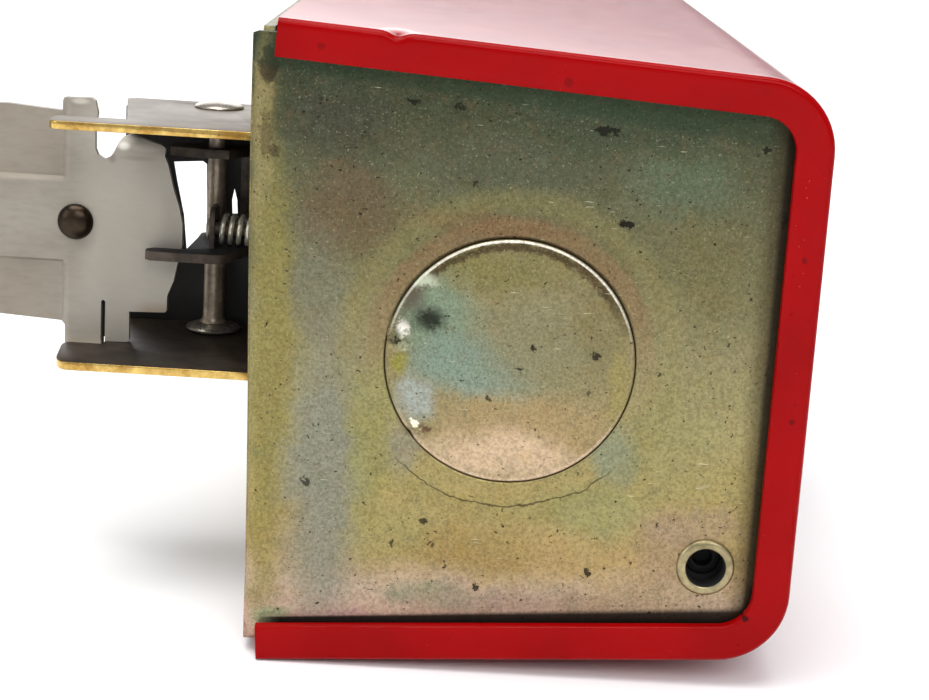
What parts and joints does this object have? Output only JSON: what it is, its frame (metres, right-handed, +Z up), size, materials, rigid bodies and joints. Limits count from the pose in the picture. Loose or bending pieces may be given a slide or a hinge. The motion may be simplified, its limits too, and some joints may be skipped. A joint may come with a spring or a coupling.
{
  "type": "street fire alarm box",
  "caption": "Wall-mounted fire alarm box: red tapered cover over a plated chassis, front pull handle, rear latch with spring and swinging release arm.",
  "frame": {"origin": "centre of the four wall holes on the base plate's back plane", "axes": "+X out of the wall towards the handle, +Y along the box away from the arm's end, +Z up"},
  "size_m": [0.1262, 0.12, 0.0584],
  "materials": {
    "red_enamel": "gloss",
    "zinc_plate": "yellow passivated zinc, satin",
    "bracket_plate": "yellow passivated zinc, dull",
    "latch_steel": "dark oiled",
    "pin_steel": "satin",
    "spring_steel": "bright",
    "arm_steel": "matt grey",
    "bright_steel": "satin",
    "handle_paint": "gloss",
    "trim_metal": "satin",
    "phenolic": "satin",
    "contact_brass": "satin",
    "contact_silver": "satin",
    "ground_green": "gloss"
  },
  "bodies": {
    "chassis": {"chassis_frame": "zinc_plate", "key_eyelet": "contact_brass", "bolt_guide": "bracket_plate", "arm_bracket": "bracket_plate", "bracket_rivet_upper": "pin_steel", "bracket_rivet_lower": "pin_steel", "latch_pin": "pin_steel", "pin_washer": "pin_steel", "pin_spacer": "pin_steel", "spring_seat": "bright_steel", "latch_spring": "spring_steel", "back_card": "phenolic", "handle_frame": "zinc_plate", "frame_screw_upper": "bright_steel", "frame_screw_lower": "bright_steel", "contact_block": "phenolic", "fixed_blade": "contact_brass", "fixed_contact": "contact_silver", "terminal_screw_low": "contact_brass", "terminal_screw_high": "contact_brass", "block_screw_upper": "bright_steel", "block_screw_lower": "bright_steel", "ground_screw": "ground_green", "ground_washer": "contact_brass"},
    "latch": {"latch_yoke": "latch_steel"},
    "arm": {"release_arm": "arm_steel", "arm_rivet": "pin_steel", "cable_eyelet": "contact_brass"},
    "rod": {"pull_rod": "bright_steel", "rod_collar": "bright_steel"},
    "handle": {"pull_handle": "handle_paint", "handle_shaft": "bright_steel", "rod_crank": "bright_steel", "switch_finger": "phenolic"},
    "blade": {"moving_blade": "contact_brass", "moving_contact": "contact_silver"},
    "cover": {"cover_shell": "red_enamel", "window_trim": "trim_metal", "blank_plate": "trim_metal", "plate_rivet_near": "bright_steel", "plate_rivet_far": "bright_steel", "lock_lug": "bracket_plate"},
    "bolt": {"lock_bolt": "bright_steel"}
  },
  "joints": [
    {"name": "handle_pull", "type": "hinge", "parent": "chassis", "child": "handle", "pos_m": [0.042, 0, 0.0026], "axis": [0, 1, 0], "range_deg": [0, 18], "stiffness_Nm_per_rad": 0.05, "springref_deg": -17.19},
    {"name": "rod_slide", "type": "slide", "parent": "chassis", "child": "rod", "axis": [1, 0, 0], "range_m": [0, 0.0013]},
    {"name": "latch_turn", "type": "hinge", "parent": "chassis", "child": "latch", "pos_m": [-0.0073, -0.0285, 0.0035], "axis": [0, 0, 1], "range_deg": [0, 24], "deforming": ["latch_spring"]},
    {"name": "arm_swing", "type": "hinge", "parent": "chassis", "child": "arm", "pos_m": [-0.018, -0.036, 0.006], "axis": [0, 0, 1], "range_deg": [-12, 0]},
    {"name": "blade_flex", "type": "hinge", "parent": "chassis", "child": "blade", "pos_m": [0.01206, 0.03, 0.00415], "axis": [0, 1, 0], "range_deg": [-4.3, 0]},
    {"name": "cover_slide", "type": "slide", "parent": "chassis", "child": "cover", "axis": [1, 0, 0], "range_m": [0, 0.07]},
    {"name": "bolt_slide", "type": "slide", "parent": "chassis", "child": "bolt", "axis": [0, 1, 0], "range_m": [0, 0.003]}
  ],
  "couplings": [
    {"joint": "rod_slide", "follows": "handle_pull", "m_per_rad": 0.004137},
    {"joint": "latch_turn", "follows": "handle_pull", "ratio": 1.3333},
    {"joint": "arm_swing", "follows": "handle_pull", "ratio": -0.6666},
    {"joint": "blade_flex", "follows": "handle_pull", "ratio": -0.2388}
  ]
}
